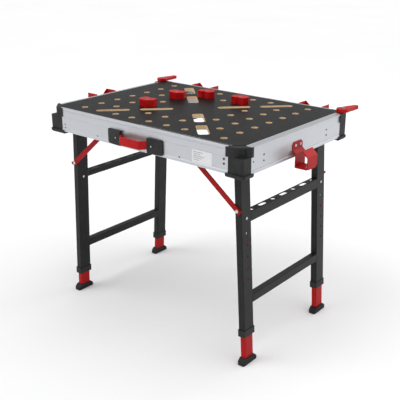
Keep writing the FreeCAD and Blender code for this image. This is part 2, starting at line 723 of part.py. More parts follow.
# ---- leg frames ----------------------------------------------------------------------------------
# A leg frame is modelled upright, with its hinge axis on the Y axis and its outside towards +X.
# stand() then splays it, hangs it at its hinge and, for the left frame, mirrors it.
def stand(shape, side):
    piece = shape.copy()
    piece.rotate(V(0, 0, 0), V(0, 1, 0), -leg_splay)
    piece.translate(V(pivot_x, 0, right_pivot_z if side > 0 else left_pivot_z))
    return mirrored(piece, across_x=side < 0)


def brace_pin_drop(side):
    """Distance down the leg from the hinge axis to the brace bolt."""
    pivot_z = right_pivot_z if side > 0 else left_pivot_z
    return (pivot_z - brace_pin_height) / math.cos(math.radians(leg_splay))


tube_bottom = tube_above_pivot - tube_length
half_thick = tube_thickness / 2.0
half_wide = tube_width / 2.0


def make_outer_tube(end, side):
    """One leg's outer tube: end is -1 at the front and 1 at the back."""
    y = end * leg_y
    tube = box(-half_thick, half_thick, y - half_wide, y + half_wide, tube_bottom, tube_above_pivot)
    tube = fillet_along(tube, "z", tube_corner_radius)
    tube = tube.cut(box(-half_thick + tube_wall, half_thick - tube_wall, y - half_wide + tube_wall,
                        y + half_wide - tube_wall, tube_bottom - 1, tube_above_pivot + 1))
    holes = [rod(hinge_bolt_diameter + 2 * running_play, V(0, y - half_wide - 1, 0), V(0, y + half_wide + 1, 0)),
             rod(cross_bolt_diameter, V(-half_thick - 1, y, -cross_bolt_drop), V(half_thick + 1, y, -cross_bolt_drop)),
             rod(brace_bolt_diameter, V(0, y, -brace_pin_drop(side)), V(0, y + end * (half_wide + 1), -brace_pin_drop(side)))]
    for i in range(button_holes_below + 1):
        drop = button_drop + i * button_hole_pitch
        holes.append(rod(button_hole_diameter, V(0, y, -drop), V(half_thick + 1, y, -drop)))
    return tube.cut(Part.makeCompound(holes))


def make_tool_rail():
    """The drilled upper rail, an angle with one leg on top and the other on the outside."""
    half = leg_y - half_wide
    top = -tool_rail_drop + tool_rail_height / 2.0
    bottom = top - tool_rail_height
    rail = box(-half_thick, half_thick, -half, half, bottom, top)
    outside_corner = [e for e in rail.Edges if abs(e.CenterOfMass.x - half_thick) < 1e-6
                      and abs(e.CenterOfMass.z - top) < 1e-6]
    rail = rail.makeFillet(tube_corner_radius, outside_corner)
    rail = rail.cut(box(-half_thick - 1, half_thick - tool_rail_wall, -half - 1, half + 1,
                        bottom - 1, top - tool_rail_wall))
    holes = []
    holes_each_way = int((half - tool_hole_margin) // tool_hole_pitch)
    for i in range(-holes_each_way, holes_each_way + 1):
        y = i * tool_hole_pitch
        if i % 2:
            holes.append(Part.makeCylinder(tool_hole_diameter / 2.0, 8, V(0, y, top - 5)))
        else:
            holes.append(stadium(tool_slot_length, tool_hole_diameter, 8, V(0, y, top - 5), 90))
    return rail.cut(Part.makeCompound(holes))


def make_lower_rail():
    """The plain lower rail, a closed tube."""
    half = leg_y - half_wide
    bottom = -lower_rail_drop - lower_rail_height / 2.0
    top = bottom + lower_rail_height
    rail = box(-half_thick, half_thick, -half, half, bottom, top)
    rail = fillet_along(rail, "y", tube_corner_radius)
    w = lower_rail_wall
    return rail.cut(box(-half_thick + w, half_thick - w, -half - 1, half + 1, bottom + w, top - w))


def make_collar(end):
    """The plastic end cap of an outer tube, with a throat that guides the inner leg."""
    y = end * leg_y
    hx = half_thick + collar_wall_x
    hy = half_wide + collar_wall_y
    bottom = tube_bottom - 3.0
    collar = fillet_along(box(-hx, hx, y - hy, y + hy, bottom, bottom + collar_height), "z", collar_corner_radius)
    tube_seat = box(-half_thick, half_thick, y - half_wide, y + half_wide, tube_bottom, bottom + collar_height + 1)
    tx = inner_leg_thickness / 2.0 + inner_leg_play
    ty = inner_leg_width / 2.0 + inner_leg_play
    throat = box(-tx, tx, y - ty, y + ty, bottom - 1, bottom + collar_height)
    bush = box(-half_thick + tube_wall, half_thick - tube_wall, y - half_wide + tube_wall, y + half_wide - tube_wall,
               tube_bottom, tube_bottom + 30)
    return fuse([collar.cut(tube_seat), bush]).cut(throat.fuse(box(-tx, tx, y - ty, y + ty, bottom, tube_bottom + 31)))


def make_frame_bolts(side):
    """The tool rail's two through bolts and the two shouldered bolts that carry the braces."""
    bolts = []
    pin_drop = brace_pin_drop(side)
    for end in (-1, 1):
        y = end * leg_y
        pieces = [rod(cross_bolt_diameter, V(-half_thick, y, -cross_bolt_drop), V(half_thick, y, -cross_bolt_drop))]
        for s in (-1, 1):
            pieces.append(rod(cross_bolt_head, V(s * half_thick, y, -cross_bolt_drop),
                              V(s * (half_thick + cross_bolt_head_height), y, -cross_bolt_drop)))
        outer_head = V(half_thick + cross_bolt_head_height, y, -cross_bolt_drop)
        bolts.append(fuse(pieces).cut(socket(5.0, outer_head, V(1, 0, 0), 1.5)))
        face = y + end * half_wide
        bolts.append(fuse([
            rod(brace_bolt_diameter, V(0, face - end * 4, -pin_drop),
                V(0, face + end * (brace_gap + brace_thickness + 0.3), -pin_drop)),
            rod(16.0, V(0, face, -pin_drop), V(0, face + end * (brace_gap - 0.3), -pin_drop)),
            rod(14.0, V(0, face + end * (brace_gap + brace_thickness + 0.3), -pin_drop),
                V(0, face + end * (brace_gap + brace_thickness + 4.3), -pin_drop))]))
    return bolts


def leg_length_to_floor(side):
    pivot_z = right_pivot_z if side > 0 else left_pivot_z
    return pivot_z / math.cos(math.radians(leg_splay))


def make_inner_leg(end, side):
    """The red tube that slides in an outer tube and stands in a rubber foot."""
    y = end * leg_y
    hx = inner_leg_thickness / 2.0
    hy = inner_leg_width / 2.0
    w = inner_leg_wall
    top = -button_drop + inner_leg_above_button
    bottom = -leg_length_to_floor(side) + foot_floor
    leg = fillet_along(box(-hx, hx, y - hy, y + hy, bottom, top), "z", inner_leg_corner_radius)
    leg = leg.cut(box(-hx + w, hx - w, y - hy + w, y + hy - w, bottom - 1, top + 1))
    return leg.cut(rod(button_diameter + 2 * button_play, V(0, y, -button_drop), V(hx + 1, y, -button_drop)))


def make_button(end):
    y = end * leg_y
    face = inner_leg_thickness / 2.0 + button_stand_out
    inside = inner_leg_thickness / 2.0 - inner_leg_wall - 2.0
    pin = rod(button_diameter, V(inside, y, -button_drop), V(face, y, -button_drop))
    cap_edge = [e for e in pin.Edges if abs(e.CenterOfMass.x - face) < 1e-6]
    flange = rod(button_diameter + 5.0, V(inside - 2.0, y, -button_drop), V(inside, y, -button_drop))
    return fuse([pin.makeFillet(0.6, cap_edge), flange])


def make_foot(end, side):
    """A rubber shoe: a flat round-ended sole, a sloping top and a socket around the inner leg."""
    y = end * leg_y
    pivot_z = right_pivot_z if side > 0 else left_pivot_z
    x = pivot_x + pivot_z * math.tan(math.radians(leg_splay))
    hx = foot_thickness / 2.0
    hy = foot_width / 2.0
    socket_y = inner_leg_width / 2.0 + foot_socket_wall
    outline = [(y - hy, 0), (y + hy, 0), (y + hy, foot_sole_height), (y + socket_y, foot_height),
               (y - socket_y, foot_height), (y - hy, foot_sole_height)]
    foot = prism([(x - hx, py, pz) for py, pz in outline], (foot_thickness, 0, 0))
    foot = fillet_along(foot, "z", foot_corner_radius)
    leg_hole = box(-inner_leg_thickness / 2, inner_leg_thickness / 2, y - inner_leg_width / 2, y + inner_leg_width / 2,
                   -leg_length_to_floor(side) + foot_floor, -leg_length_to_floor(side) + foot_height + 20)
    leg_hole.rotate(V(0, 0, 0), V(0, 1, 0), -leg_splay)
    leg_hole.translate(V(pivot_x, 0, pivot_z))
    return mirrored(foot.cut(leg_hole), across_x=side < 0)


# ---- braces --------------------------------------------------------------------------------------
# The four braces and the two slotted guides share these points, in the XZ plane of the right side.
def brace_points(side):
    """Foot and top of a brace at rest and its length, with X counted outwards from the middle."""
    angle = right_brace_angle if side > 0 else left_brace_angle
    pivot_z = right_pivot_z if side > 0 else left_pivot_z
    foot_x = pivot_x + (pivot_z - brace_pin_height) * math.tan(math.radians(leg_splay))
    length = (pivot_z - brace_pin_height) / math.sin(math.radians(angle))
    top_x = foot_x - length * math.cos(math.radians(angle))
    return foot_x, top_x, length


def make_brace(end, side):
    foot_x, top_x, length = brace_points(side)
    angle = right_brace_angle if side > 0 else left_brace_angle
    half = brace_width / 2.0
    near = end * brace_near_y
    far = end * brace_far_y
    bar = box(-length, brace_heel, near, far, -half, half)
    top_end = rod(brace_width, V(-length, near, 0), V(-length, far, 0))
    tab = box(brace_heel - brace_thickness, brace_heel, far, far + end * brace_tab, -half, half)
    tab = tab.cut(box(brace_heel - brace_thickness - 1, brace_heel + 1, far, far + end * brace_tab + end, -half - 1, -2))
    pin = rod(guide_pin_diameter, V(-length, near, 0), V(-length, far + end * guide_pin_length, 0))
    brace = fuse([bar, top_end, tab, pin])
    brace = brace.cut(rod(brace_bolt_diameter + 2 * running_play, V(0, near - end, 0), V(0, far + end, 0)))
    brace.rotate(V(0, 0, 0), V(0, 1, 0), angle)
    brace.translate(V(foot_x, 0, brace_pin_height))
    return mirrored(brace, across_x=side < 0)


def folded_top_x(side):
    """Where a brace's top pin lies along X, outwards from the middle, when its frame is folded up."""
    return pivot_x - brace_pin_drop(side) - brace_points(side)[2]


for side, word in ((1, "right"), (-1, "left")):
    for end, end_word in ((-1, "front"), (1, "back")):
        add(f"{word}_{end_word}_leg_tube", stand(make_outer_tube(end, side), side))
        add(f"{word}_{end_word}_inner_leg", stand(make_inner_leg(end, side), side))
        add(f"{word}_{end_word}_spring_button", stand(make_button(end), side))
        add(f"{word}_{end_word}_foot", make_foot(end, side))
        add(f"{word}_{end_word}_brace", make_brace(end, side))
    add(f"{word}_tool_rail", stand(make_tool_rail(), side))
    add(f"{word}_lower_rail", stand(make_lower_rail(), side))
    add(f"{word}_leg_collars", [stand(make_collar(end), side) for end in (-1, 1)])
    add(f"{word}_frame_bolts", [stand(bolt, side) for bolt in make_frame_bolts(side)])


def make_brace_guide():
    """The back guide: a channel on the inside of the long rail with one slot for each brace pin."""
    slots = []
    for side, pivot_z in ((1, right_pivot_z), (-1, left_pivot_z)):
        ends = sorted((side * brace_points(side)[1], side * folded_top_x(side)))
        slots.append((ends[0], ends[1], pivot_z))
    x0 = min(s[0] for s in slots) - guide_margin
    x1 = max(s[1] for s in slots) + guide_margin
    z0 = left_pivot_z - guide_margin
    z1 = right_pivot_z + guide_margin
    guide = box(x0, x1, guide_near_y, long_rail_inner_y, z0, z1)
    guide = guide.cut(box(x0 - 1, x1 + 1, guide_near_y + guide_wall, long_rail_inner_y + 1, z0 + guide_wall, z1 - guide_wall))
    for low, high, z in slots:
        run = box(low, high, guide_near_y - 1, guide_near_y + guide_wall + 1, z - guide_slot_height / 2, z + guide_slot_height / 2)
        ends = [rod(guide_slot_height, V(x, guide_near_y - 1, z), V(x, guide_near_y + guide_wall + 1, z)) for x in (low, high)]
        guide = guide.cut(fuse([run] + ends))
    return guide


brace_guide = make_brace_guide()
add("brace_guides", [brace_guide, mirrored(brace_guide, across_y=True)])


# ---- clamping jaws and their pegs ----------------------------------------------------------------
def make_jaw():
    """A six-sided block with a V groove in its front face, bored for its peg. Front is -Y."""
    front = -jaw_front
    outline = [(-jaw_face_width / 2, front), (-jaw_groove_depth, front), (0, front + jaw_groove_depth),
               (jaw_groove_depth, front), (jaw_face_width / 2, front), (jaw_width / 2, jaw_side_place),
               (jaw_back_width / 2, jaw_back), (-jaw_back_width / 2, jaw_back), (-jaw_width / 2, jaw_side_place)]
    jaw = prism([(x, y, jaw_lift) for x, y in outline], (0, 0, jaw_height))
    jaw = fillet_along(jaw, "z", jaw_corner_radius)
    shoulder = dog_hole_diameter - 2 * peg_play + 2 * running_play
    jaw = jaw.cut(Part.makeCylinder(shoulder / 2.0, peg_shoulder_height + 0.3 + jaw_lift, V(0, 0, 0)))
    return jaw.cut(Part.makeCylinder(peg_spindle_diameter / 2.0 + running_play, jaw_height + 2, V(0, 0, 0)))


def make_peg():
    """A turned peg: its thick end fills a dog hole, its thin end is the jaw's spindle."""
    thick = dog_hole_diameter / 2.0 - peg_play
    body = Part.makeCylinder(thick, panel_thickness + peg_below_panel + peg_shoulder_height,
                             V(0, 0, -panel_thickness - peg_below_panel))
    spindle = Part.makeCylinder(peg_spindle_diameter / 2.0, jaw_height - peg_shoulder_height - 0.7,
                                V(0, 0, peg_shoulder_height))
    return fuse([body, spindle])


for number, (column, row, turn) in enumerate(jaw_places, 1):
    for name, shape in ((f"jaw_{number}", make_jaw()), (f"jaw_peg_{number}", make_peg())):
        shape.rotate(V(0, 0, 0), V(0, 0, 1), turn)
        shape.translate(V(column * hole_pitch, row * hole_pitch, table_height))
        add(name, shape)


# ---- write the files -----------------------------------------------------------------------------
middle = V(-whole_middle_x, -whole_middle_y, 0)
for name, shape in nodes.items():
    placed = shape.copy()
    placed.translate(middle)
    placed.exportStep(f"parts/{name}.step")
    nodes[name] = placed
whole = Part.makeCompound(list(nodes.values())).BoundBox
print(f"{len(nodes)} nodes, X {whole.XMin:.1f} to {whole.XMax:.1f}, Y {whole.YMin:.1f} to {whole.YMax:.1f}, "
      f"Z {whole.ZMin:.1f} to {whole.ZMax:.1f}")
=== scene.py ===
"""Looks of a folding clamping and welding table: a perforated work top in an aluminium frame,
on two folding leg frames with telescopic legs. Metres, +Z up, the handle side faces -Y.
"""
import json
import math

import bmesh
import bpy
from mathutils import Matrix, Vector

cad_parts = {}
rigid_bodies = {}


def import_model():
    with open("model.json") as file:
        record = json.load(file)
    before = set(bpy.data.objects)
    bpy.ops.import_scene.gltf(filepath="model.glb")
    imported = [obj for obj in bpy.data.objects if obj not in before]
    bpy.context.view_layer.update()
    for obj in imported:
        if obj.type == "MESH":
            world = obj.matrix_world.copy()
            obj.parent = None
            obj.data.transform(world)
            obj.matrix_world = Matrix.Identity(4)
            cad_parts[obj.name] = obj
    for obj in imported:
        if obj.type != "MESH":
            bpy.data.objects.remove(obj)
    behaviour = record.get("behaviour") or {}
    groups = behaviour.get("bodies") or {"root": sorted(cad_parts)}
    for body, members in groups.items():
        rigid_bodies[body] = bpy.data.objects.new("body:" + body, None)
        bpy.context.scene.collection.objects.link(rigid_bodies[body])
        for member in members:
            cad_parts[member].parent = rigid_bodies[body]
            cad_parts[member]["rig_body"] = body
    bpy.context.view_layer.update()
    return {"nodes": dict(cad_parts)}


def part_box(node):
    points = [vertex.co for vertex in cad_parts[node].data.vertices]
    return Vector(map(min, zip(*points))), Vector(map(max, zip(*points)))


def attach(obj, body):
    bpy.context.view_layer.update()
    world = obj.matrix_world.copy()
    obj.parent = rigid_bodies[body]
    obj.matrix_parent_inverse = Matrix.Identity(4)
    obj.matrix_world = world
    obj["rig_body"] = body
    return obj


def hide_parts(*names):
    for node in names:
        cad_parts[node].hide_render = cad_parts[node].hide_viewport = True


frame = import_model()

# ---- work top ---------------------------------------------------------------------------------
# Birch plywood faced on both sides with a black phenolic film, bored and routed for clamps.
# The film shows a faint sheen and rub marks; every cut edge shows the bare plies.
panel_low, panel_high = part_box("worktop_panel")
table_middle = (panel_low + panel_high) / 2
film_black = (0.0105, 0.0107, 0.0113, 1)
ply_light = (0.78, 0.60, 0.385, 1)
ply_dark = (0.52, 0.36, 0.20, 1)
sealed_beyond = 0.75  # X plus Y distance from the middle, past every hole and short of the cut corners
level_enough = 0.9  # how upright a surface's normal is where the film covers it


def new_finish(name):
    """An empty node material with its surface shader: (material, nodes, links, shader)."""
    material = bpy.data.materials.new(name)
    material.use_nodes = True
    nodes = material.node_tree.nodes
    return material, nodes, material.node_tree.links, nodes["Principled BSDF"]


def pattern_space(nodes, links, stretch=(1, 1, 1)):
    """Object coordinates, stretched so that a pattern can run along the piece."""
    place = nodes.new("ShaderNodeTexCoord")
    mapping = nodes.new("ShaderNodeMapping")
    mapping.inputs["Scale"].default_value = stretch
    links.new(place.outputs["Object"], mapping.inputs["Vector"])
    return mapping.outputs["Vector"]


def mottle(nodes, links, space, scale, detail=4.0, roughness=0.5):
    """A noise pattern's grey value."""
    noise = nodes.new("ShaderNodeTexNoise")
    noise.inputs["Scale"].default_value = scale
    noise.inputs["Detail"].default_value = detail
    noise.inputs["Roughness"].default_value = roughness
    links.new(space, noise.inputs["Vector"])
    return noise.outputs["Fac"]


def ramp(nodes, links, value, stops):
    """A grey value turned into colours at given places."""
    colours = nodes.new("ShaderNodeValToRGB")
    points = colours.color_ramp.elements
    while len(points) < len(stops):
        points.new(0.5)
    for point, (place, colour) in zip(points, stops):
        point.position = place
        point.color = colour
    links.new(value, colours.inputs["Fac"])
    return colours.outputs["Color"]


def between(nodes, links, value, low, high):
    """A grey value from 0 to 1 moved into a range."""
    spread = nodes.new("ShaderNodeMapRange")
    spread.inputs["From Min"].default_value = 0.3
    spread.inputs["From Max"].default_value = 0.7
    spread.inputs["To Min"].default_value = low
    spread.inputs["To Max"].default_value = high
    links.new(value, spread.inputs["Value"])
    return spread.outputs["Result"]


def bumps(nodes, links, value, strength, depth, shader):
    """Fine relief on the surface, its depth in metres."""
    bump = nodes.new("ShaderNodeBump")
    bump.inputs["Strength"].default_value = strength
    bump.inputs["Distance"].default_value = depth
    links.new(value, bump.inputs["Height"])
    links.new(bump.outputs["Normal"], shader.inputs["Normal"])


def mixed(nodes, links, share, first, second):
    """Two colours, the second one showing by a share."""
    mix = nodes.new("ShaderNodeMix")
    mix.data_type = "RGBA"
    links.new(share, mix.inputs["Factor"])
    for socket, colour in ((mix.inputs[6], first), (mix.inputs[7], second)):
        if isinstance(colour, tuple):
            socket.default_value = colour
        else:
            links.new(colour, socket)
    return mix.outputs[2]


def maths(nodes, links, operation, first, second=None):
    """One step of arithmetic on a grey value, with a number or with another value."""
    step = nodes.new("ShaderNodeMath")
    step.operation = operation
    links.new(first, step.inputs[0])
    if isinstance(second, float):
        step.inputs[1].default_value = second
    elif second is not None:
        links.new(second, step.inputs[1])
    return step.outputs["Value"]


film_faced_plywood, nodes, links, shader = new_finish("film_faced_plywood")
across = pattern_space(nodes, links)
facing = nodes.new("ShaderNodeNewGeometry")
upright = nodes.new("ShaderNodeSeparateXYZ")
links.new(facing.outputs["True Normal"], upright.inputs["Vector"])
flatness = maths(nodes, links, "ABSOLUTE", upright.outputs["Z"])
is_face = maths(nodes, links, "GREATER_THAN", flatness, level_enough)
centred = nodes.new("ShaderNodeVectorMath")
centred.operation = "SUBTRACT"
centred.inputs[1].default_value = table_middle
links.new(across, centred.inputs[0])
unsigned = nodes.new("ShaderNodeVectorMath")
unsigned.operation = "ABSOLUTE"
links.new(centred.outputs["Vector"], unsigned.inputs[0])
outwards = nodes.new("ShaderNodeVectorMath")
outwards.operation = "DOT_PRODUCT"
outwards.inputs[1].default_value = (1, 1, 0)
links.new(unsigned.outputs["Vector"], outwards.inputs[0])
is_sealed = maths(nodes, links, "GREATER_THAN", outwards.outputs["Value"], sealed_beyond)
is_film = maths(nodes, links, "MAXIMUM", is_face, is_sealed)
plies = nodes.new("ShaderNodeTexWave")
plies.bands_direction = "Z"
plies.inputs["Scale"].default_value = 112.0
plies.inputs["Distortion"].default_value = 0.6
plies.inputs["Detail Scale"].default_value = 0.4
links.new(across, plies.inputs["Vector"])
layered = ramp(nodes, links, plies.outputs["Fac"], [(0.3, ply_dark), (0.55, ply_light)])
rubbed = mottle(nodes, links, across, 9.0, 6.0, 0.62)
film = ramp(nodes, links, rubbed, [(0.35, film_black), (0.75, (0.0135, 0.0138, 0.0146, 1))])
links.new(mixed(nodes, links, is_film, layered, film), shader.inputs["Base Color"])
fine = mottle(nodes, links, across, 60.0, 5.0, 0.6)
gloss = nodes.new("ShaderNodeMix")
links.new(is_film, gloss.inputs["Factor"])
gloss.inputs["A"].default_value = 0.75
links.new(between(nodes, links, fine, 0.34, 0.41), gloss.inputs["B"])
links.new(gloss.outputs["Result"], shader.inputs["Roughness"])
shader.inputs["Specular IOR Level"].default_value = 0.07
weave = mottle(nodes, links, pattern_space(nodes, links, (1, 1.6, 1)), 900.0, 2.0)
bumps(nodes, links, weave, 0.10, 0.0002, shader)
frame["nodes"]["worktop_panel"].data.materials[0] = film_faced_plywood

# ---- printed rule on the work top -------------------------------------------------------------
# A scale of short pale strokes printed on the film along the front edge of the right-hand half,
# every tenth stroke longer. It carries no numbers.
stroke_count = 92
stroke_pitch = 0.005
stroke_width = 0.0014
rule_start = 0.010  # from the middle of the table to the first stroke
rule_inset = 0.004  # from the panel's front edge to the strokes
ink_thickness = 0.00012


def new_piece(name, shape, material):
    """A piece made from a finished bmesh, which it frees."""
    mesh = bpy.data.meshes.new(name)
    shape.to_mesh(mesh)
    shape.free()
    mesh.materials.append(material)
    piece = bpy.data.objects.new(name, mesh)
    bpy.context.scene.collection.objects.link(piece)
    return piece


printed_white, nodes, links, shader = new_finish("printed_white")
links.new(ramp(nodes, links, mottle(nodes, links, pattern_space(nodes, links), 400.0),
               [(0.3, (0.34, 0.34, 0.34, 1)), (0.7, (0.52, 0.52, 0.51, 1))]), shader.inputs["Base Color"])
shader.inputs["Roughness"].default_value = 0.6
strokes = bmesh.new()
first_stroke = table_middle.x + rule_start
for count in range(stroke_count):
    length = 0.010 if count % 10 == 0 else 0.007 if count % 5 == 0 else 0.005
    made = bmesh.ops.create_grid(strokes, x_segments=1, y_segments=1, size=0.5)
    bmesh.ops.scale(strokes, verts=made["verts"], vec=(stroke_width, length, 1))
    bmesh.ops.translate(strokes, verts=made["verts"],
                        vec=(first_stroke + count * stroke_pitch, panel_low.y + rule_inset + length / 2,
                             panel_high.z + ink_thickness))
printed_rule = new_piece("printed_rule", strokes, printed_white)
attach(printed_rule, "table")

# ---- aluminium rails --------------------------------------------------------------------------
# Four hollow extruded rails, silver anodised. The draw lines of the extrusion run along each rail,
# and the lips catch the light.
silver = (0.575, 0.59, 0.615, 1)
silver_dull = (0.535, 0.55, 0.58, 1)


def anodised(name, stretch):
    """Satin anodised aluminium with draw lines along the unstretched axis."""
    material, nodes, links, shader = new_finish(name)
    lines = mottle(nodes, links, pattern_space(nodes, links, stretch), 30.0, 6.0, 0.65)
    clouds = mottle(nodes, links, pattern_space(nodes, links), 5.0, 3.0)
    drawn = ramp(nodes, links, lines, [(0.3, silver_dull), (0.7, silver)])
    links.new(mixed(nodes, links, between(nodes, links, clouds, 0.0, 0.35), drawn, (0.555, 0.57, 0.60, 1)),
              shader.inputs["Base Color"])
    shader.inputs["Metallic"].default_value = 0.75
    links.new(between(nodes, links, lines, 0.32, 0.42), shader.inputs["Roughness"])
    bumps(nodes, links, lines, 0.04, 0.0002, shader)
    return material


drawn_along_x = anodised("anodised_drawn_along_x", (0.25, 14, 14))
drawn_along_y = anodised("anodised_drawn_along_y", (14, 0.25, 14))
for node, material in (("front_rail", drawn_along_x), ("back_rail", drawn_along_x),
                       ("right_rail", drawn_along_y), ("left_rail", drawn_along_y)):
    frame["nodes"][node].data.materials[0] = material

# ---- corner pieces ----------------------------------------------------------------------------
# Black glass-filled nylon mouldings that close the ends of the rails. Their edges are rounded, and
# the skin has the fine grain of a spark-eroded mould.
moulded_black, nodes, links, shader = new_finish("moulded_black")
grain = mottle(nodes, links, pattern_space(nodes, links), 1400.0, 3.0, 0.6)
worn = mottle(nodes, links, pattern_space(nodes, links), 30.0, 5.0, 0.6)
links.new(ramp(nodes, links, worn, [(0.35, (0.012, 0.012, 0.013, 1)), (0.7, (0.024, 0.024, 0.026, 1))]),
          shader.inputs["Base Color"])
links.new(between(nodes, links, grain, 0.44, 0.60), shader.inputs["Roughness"])
shader.inputs["Specular IOR Level"].default_value = 0.25
bumps(nodes, links, grain, 0.25, 0.0002, shader)


def eased(node, width, material, segments=2):
    """A copy of a CAD piece with its sharp edges rounded off, which stands for it."""
    work = bmesh.new()
    work.from_mesh(frame["nodes"][node].data)
    bmesh.ops.remove_doubles(work, verts=work.verts, dist=0.00001)
    bmesh.ops.dissolve_limit(work, angle_limit=math.radians(0.6), verts=work.verts, edges=work.edges)
    bmesh.ops.recalc_face_normals(work, faces=work.faces)
    for face in work.faces:
        face.smooth = True
        face.material_index = 0
    mesh = bpy.data.meshes.new(node + "_eased")
    work.to_mesh(mesh)
    work.free()
    for extra in [a.name for a in mesh.attributes if a.name == "custom_normal"]:
        mesh.attributes.remove(mesh.attributes[extra])
    mesh.materials.clear()
    mesh.materials.append(material)
    piece = bpy.data.objects.new(node + "_eased", mesh)
    bpy.context.scene.collection.objects.link(piece)
    rounding = piece.modifiers.new("rounded_edges", "BEVEL")
    rounding.width = width
    rounding.segments = segments
    rounding.limit_method = "ANGLE"
    rounding.angle_limit = math.radians(32)
    rounding.harden_normals = True
    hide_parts(node)
    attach(piece, frame["nodes"][node]["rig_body"])
    return piece


for corner in ("front_right_corner", "front_left_corner", "back_right_corner", "back_left_corner"):
    eased(corner, 0.0014, moulded_black, 3)

# ---- bars under the panel ---------------------------------------------------------------------
# Flat steel bars that carry the plywood between the long rails, painted satin black like the legs.
black_powder_coat, nodes, links, shader = new_finish("black_powder_coat")
orange_peel = mottle(nodes, links, pattern_space(nodes, links), 520.0, 2.0, 0.45)
dust = mottle(nodes, links, pattern_space(nodes, links), 12.0, 6.0, 0.65)
links.new(ramp(nodes, links, dust, [(0.38, (0.0085, 0.0088, 0.0095, 1)), (0.72, (0.0165, 0.017, 0.018, 1))]),
          shader.inputs["Base Color"])
links.new(between(nodes, links, dust, 0.30, 0.40), shader.inputs["Roughness"])
shader.inputs["Specular IOR Level"].default_value = 0.2
bumps(nodes, links, orange_peel, 0.12, 0.0003, shader)
frame["nodes"]["panel_support_bars"].data.materials[0] = black_powder_coat

# ---- carrying handle --------------------------------------------------------------------------
# Two black end plates screwed to the front rail, and a bowed strap of tough red plastic whose ends
# sit in slots in the plates.
moulded_red, nodes, links, shader = new_finish("moulded_red")
flow = mottle(nodes, links, pattern_space(nodes, links), 22.0, 4.0, 0.55)
skin = mottle(nodes, links, pattern_space(nodes, links), 1100.0, 2.0)
links.new(ramp(nodes, links, flow, [(0.3, (0.39, 0.0046, 0.0056, 1)), (0.72, (0.50, 0.0080, 0.0080, 1))]),
          shader.inputs["Base Color"])
links.new(between(nodes, links, flow, 0.30, 0.42), shader.inputs["Roughness"])
shader.inputs["Specular IOR Level"].default_value = 0.13
bumps(nodes, links, skin, 0.08, 0.0002, shader)
eased("handle_end_plates", 0.0016, moulded_black, 3)
eased("handle_strap", 0.0014, moulded_red, 3)

# ---- rating plate -----------------------------------------------------------------------------
# A pale plastic label on the front rail, left blank apart from a few grey bars.
label_low, label_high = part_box("rating_plate")
label_face, nodes, links, shader = new_finish("label_face")
paper = mottle(nodes, links, pattern_space(nodes, links), 300.0, 3.0)
links.new(ramp(nodes, links, paper, [(0.3, (0.66, 0.67, 0.69, 1)), (0.7, (0.76, 0.77, 0.78, 1))]),
          shader.inputs["Base Color"])
links.new(between(nodes, links, paper, 0.40, 0.50), shader.inputs["Roughness"])
frame["nodes"]["rating_plate"].data.materials[0] = label_face
label_ink, nodes, links, shader = new_finish("label_ink")
links.new(ramp(nodes, links, mottle(nodes, links, pattern_space(nodes, links), 700.0),
               [(0.3, (0.10, 0.10, 0.11, 1)), (0.7, (0.19, 0.19, 0.20, 1))]), shader.inputs["Base Color"])
shader.inputs["Roughness"].default_value = 0.55
bars = bmesh.new()
bar_height = 0.0016
bar_pitch = 0.0075
first_bar_drop = 0.009  # from the top of the plate
label_width = label_high.x - label_low.x
for row, (start, end) in enumerate(((0.07, 0.55), (0.07, 0.42), (0.07, 0.62), (0.07, 0.50), (0.07, 0.36))):
    made = bmesh.ops.create_grid(bars, x_segments=1, y_segments=1, size=0.5,
                                 matrix=Matrix.Rotation(math.radians(90), 4, "X"))
    bmesh.ops.scale(bars, verts=made["verts"], vec=((end - start) * label_width, 1, bar_height))
    bmesh.ops.translate(bars, verts=made["verts"],
                        vec=(label_low.x + (start + end) / 2 * label_width, label_low.y - ink_thickness,
                             label_high.z - first_bar_drop - row * bar_pitch))
label_bars = new_piece("label_bars", bars, label_ink)
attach(label_bars, "table")

# ---- tool hook and side brackets --------------------------------------------------------------
# Folded from 3 mm steel sheet and powder coated red, each held by two screws. The cut edges are
# slightly rounded under the paint.
def powder_coat(name, scale, dark, light, smoothest, roughest):
    """Red powder coat with a faint orange peel: its shade wanders between two colours."""
    material, nodes, links, shader = new_finish(name)
    orange_peel = mottle(nodes, links, pattern_space(nodes, links), 480.0, 2.0, 0.45)
    shade = mottle(nodes, links, pattern_space(nodes, links), scale, 5.0, 0.6)
    links.new(ramp(nodes, links, shade, [(0.35, dark), (0.72, light)]), shader.inputs["Base Color"])
    links.new(between(nodes, links, shade, smoothest, roughest), shader.inputs["Roughness"])
    shader.inputs["Specular IOR Level"].default_value = 0.13
    bumps(nodes, links, orange_peel, 0.12, 0.0003, shader)
    return material


red_powder_coat = powder_coat("red_powder_coat", 14.0, (0.37, 0.0043, 0.0052, 1),
                              (0.47, 0.0074, 0.0078, 1), 0.30, 0.40)
for sheet_part in ("tool_hook", "back_bracket_left", "back_bracket_right", "left_bracket"):
    eased(sheet_part, 0.0005, red_powder_coat)
